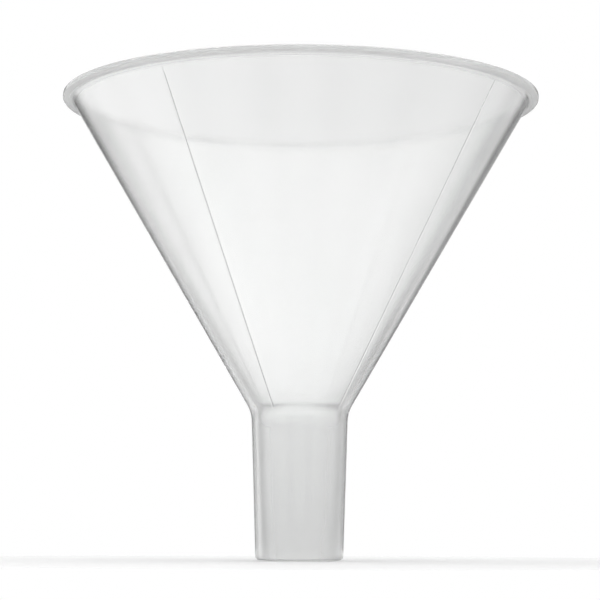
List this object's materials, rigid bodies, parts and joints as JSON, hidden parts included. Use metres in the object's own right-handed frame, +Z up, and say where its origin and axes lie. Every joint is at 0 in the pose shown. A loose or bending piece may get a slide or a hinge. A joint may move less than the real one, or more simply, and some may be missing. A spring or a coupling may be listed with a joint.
{
  "type": "powder funnel",
  "caption": "Translucent powder funnel: a steep cone with a thin flanged rim above a wide, straight-cut stem, for pouring powders into bottle and tube necks.",
  "frame": {"origin": "centre of the stem's end face, on the axis of revolution; the part stands on this face", "axes": "+Z up along the axis, from the stem's end to the rim; -Y is the front, and the fine lines inside the cone are 55 degrees from +X and every quarter turn on"},
  "size_m": [0.1, 0.1, 0.0966],
  "materials": {
    "polypropylene": "natural polypropylene, milky and translucent, with a satin gloss"
  },
  "bodies": {
    "root": {"funnel": "polypropylene"}
  },
  "joints": []
}
